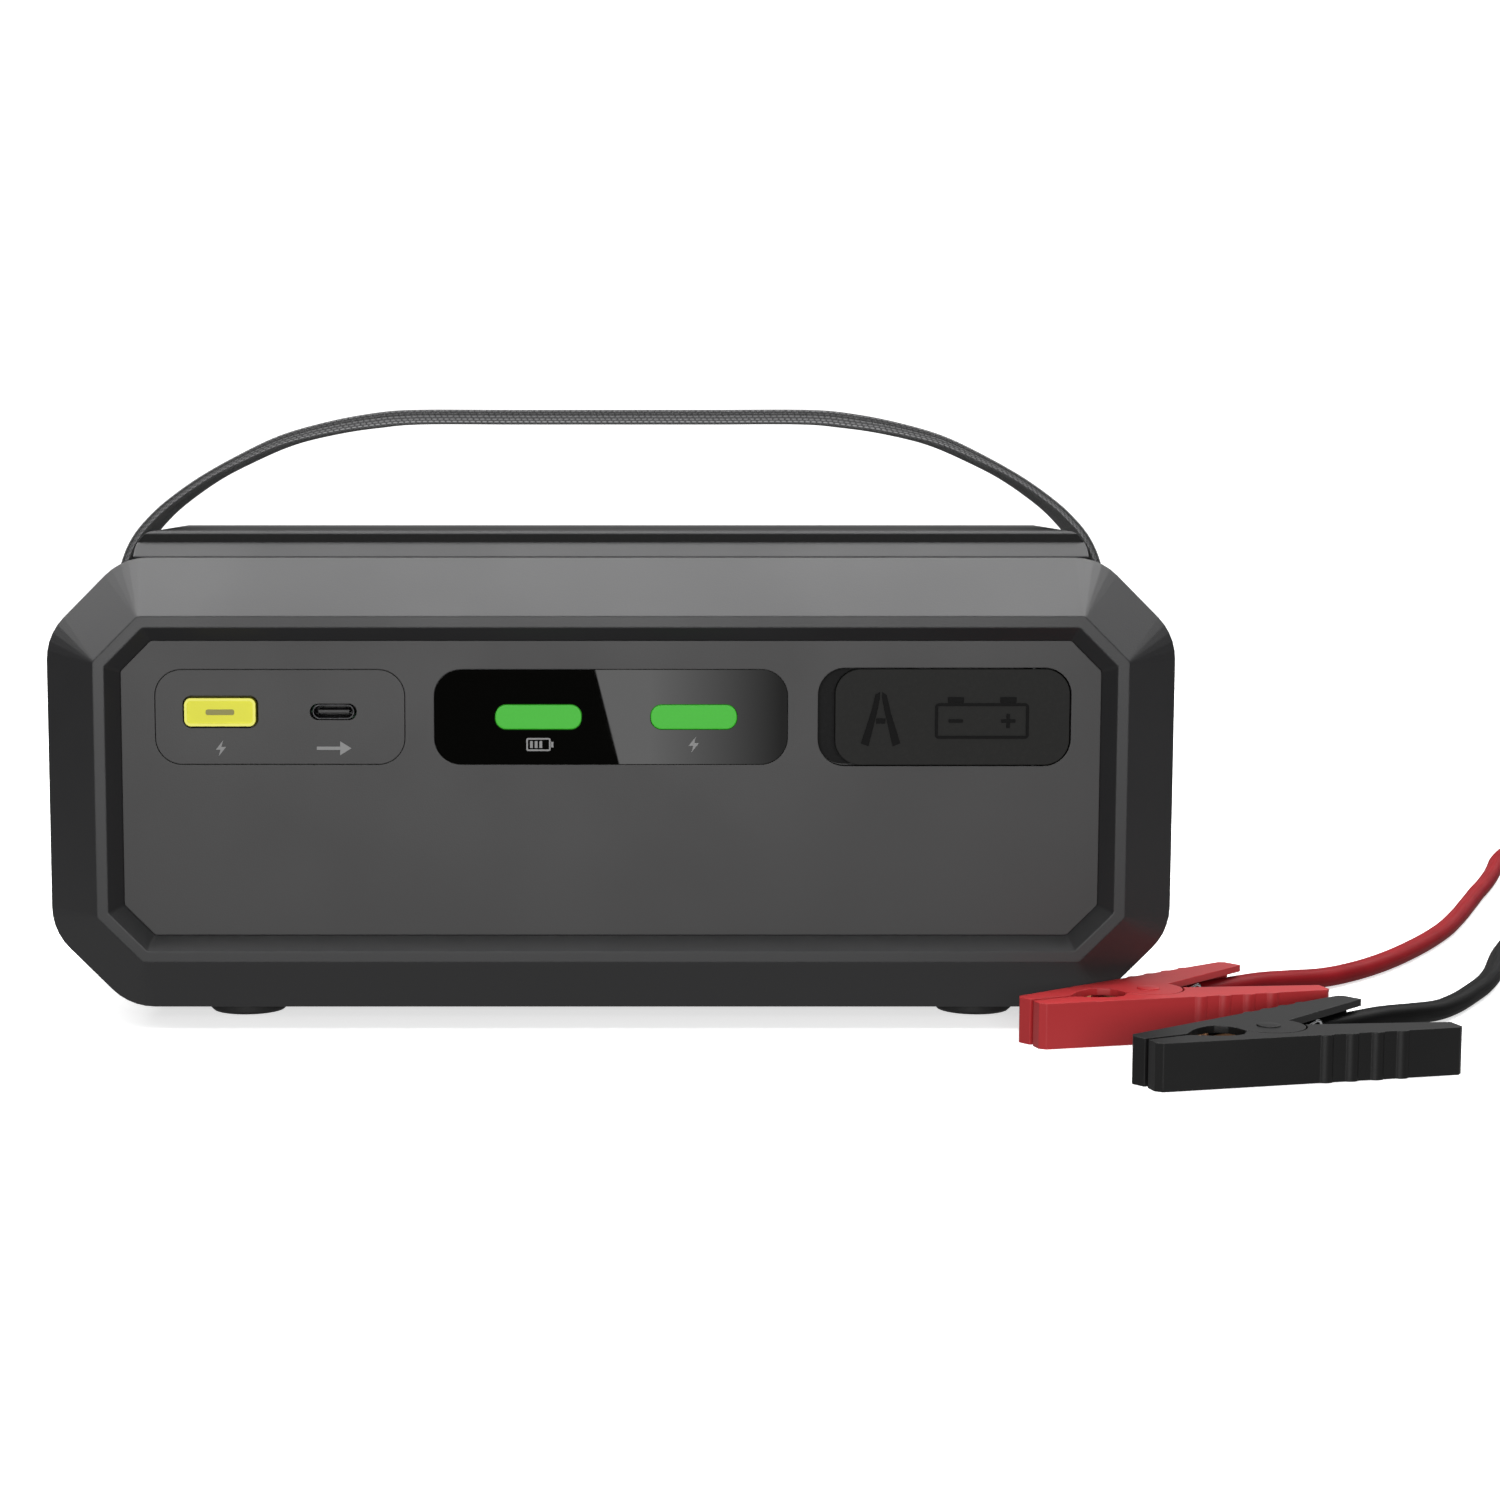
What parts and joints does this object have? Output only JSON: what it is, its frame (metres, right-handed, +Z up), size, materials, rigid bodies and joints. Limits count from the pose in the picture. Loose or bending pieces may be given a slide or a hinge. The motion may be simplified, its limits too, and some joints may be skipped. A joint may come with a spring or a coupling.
{
  "type": "portable jump starter",
  "caption": "Bevelled handheld jump starter pack with a webbing carry strap, inlaid front controls, a hinged output cover and a loose pair of clamp leads.",
  "frame": {"origin": "on the floor, under the middle of the pack", "axes": "+X to the right seen from the front panel, +Y from the front panel to the back, +Z up"},
  "size_m": [0.453, 0.3166, 0.1326],
  "materials": {
    "case_plastic": "fine grain",
    "panel_plastic": "fine grain",
    "window_plastic": "polished",
    "lens_plastic": "satin",
    "button_plastic": "satin",
    "cover_rubber": "matt",
    "black_rubber": "matt",
    "strap_webbing": "woven",
    "steel": "plain",
    "spring_steel": "bright",
    "connector_steel": "satin",
    "black_plastic": "satin",
    "circuit_board": "solder mask",
    "ribbon_plastic": "plain",
    "led_plastic": "clear",
    "connector_blue": "satin",
    "contact_gold": "plated",
    "copper": "plain",
    "capacitor_sleeve": "shrink sleeve",
    "aluminium": "extruded",
    "ferrite": "sintered",
    "red_silicone": "satin",
    "black_silicone": "satin",
    "clamp_red": "satin",
    "clamp_black": "satin"
  },
  "bodies": {
    "pack": {"front_shell": "case_plastic", "rear_shell": "case_plastic", "case_gasket": "black_rubber", "case_screws": "steel", "rubber_feet": "black_rubber", "top_deck": "case_plastic", "carry_strap": "strap_webbing", "strap_bars": "steel", "front_panel": "panel_plastic", "port_plate": "panel_plastic", "indicator_window": "window_plastic", "charging_lens": "lens_plastic", "start_lens": "lens_plastic", "usb_c_shell": "connector_steel", "usb_c_tongue": "black_plastic", "button_switch": "black_plastic", "control_board": "circuit_board", "board_screws": "steel", "indicator_leds": "led_plastic", "buzzer": "black_plastic", "signal_ribbon": "ribbon_plastic", "cover_hinge_pin": "steel", "output_socket": "connector_blue", "socket_contacts": "contact_gold", "socket_lead_positive": "red_silicone", "socket_lead_negative": "black_silicone", "cell_cradle": "black_plastic", "cell_retainer": "black_plastic", "capacitor_1": "capacitor_sleeve", "capacitor_2": "capacitor_sleeve", "capacitor_3": "capacitor_sleeve", "capacitor_4": "capacitor_sleeve", "capacitor_5": "capacitor_sleeve", "balance_board": "circuit_board", "bus_bars": "copper", "power_board": "circuit_board", "power_relay": "black_plastic", "boost_inductor": "ferrite", "heat_sink": "aluminium", "power_transistors": "black_plastic"},
    "boost_button": {"boost_button": "button_plastic", "switch_plunger": "black_plastic"},
    "output_cover": {"output_cover": "cover_rubber"},
    "lead_set": {"plug_housing": "connector_blue", "plug_pins": "contact_gold", "red_cable": "red_silicone", "black_cable": "black_silicone", "red_clamp_rear_half": "clamp_red", "red_clamp_pin": "steel", "red_clamp_spring": "spring_steel", "red_jaw_rear": "copper", "black_clamp_rear_half": "clamp_black", "black_clamp_pin": "steel", "black_clamp_spring": "spring_steel", "black_jaw_rear": "copper"},
    "red_clamp_front": {"red_clamp_front_half": "clamp_red", "red_jaw_front": "copper"},
    "black_clamp_front": {"black_clamp_front_half": "clamp_black", "black_jaw_front": "copper"}
  },
  "joints": [
    {"name": "boost_button_press", "type": "slide", "parent": "pack", "child": "boost_button", "axis": [0, 1, 0], "range_m": [0, 0.0006], "stiffness_N_per_m": 1500, "springref_m": -0.001},
    {"name": "output_cover_hinge", "type": "hinge", "parent": "pack", "child": "output_cover", "pos_m": [0.0904, -0.0371, 0.0669], "axis": [0, 0, 1], "range_deg": [0, 95]},
    {"name": "lead_set_lift", "type": "slide", "parent": "pack", "child": "lead_set", "axis": [0.5499, -0.6998, 0.4559], "range_m": [0, 0.15]},
    {"name": "red_clamp_pivot", "type": "hinge", "parent": "lead_set", "child": "red_clamp_front", "pos_m": [0.1145, -0.046, 0.0048], "axis": [0, 0, 1], "range_deg": [0, 34], "stiffness_Nm_per_rad": 0.15, "springref_deg": -28.65, "deforming": ["red_clamp_spring"]},
    {"name": "black_clamp_pivot", "type": "hinge", "parent": "lead_set", "child": "black_clamp_front", "pos_m": [0.131, -0.085, 0.0048], "axis": [0, 0, 1], "range_deg": [0, 34], "stiffness_Nm_per_rad": 0.15, "springref_deg": -28.65, "deforming": ["black_clamp_spring"]}
  ]
}
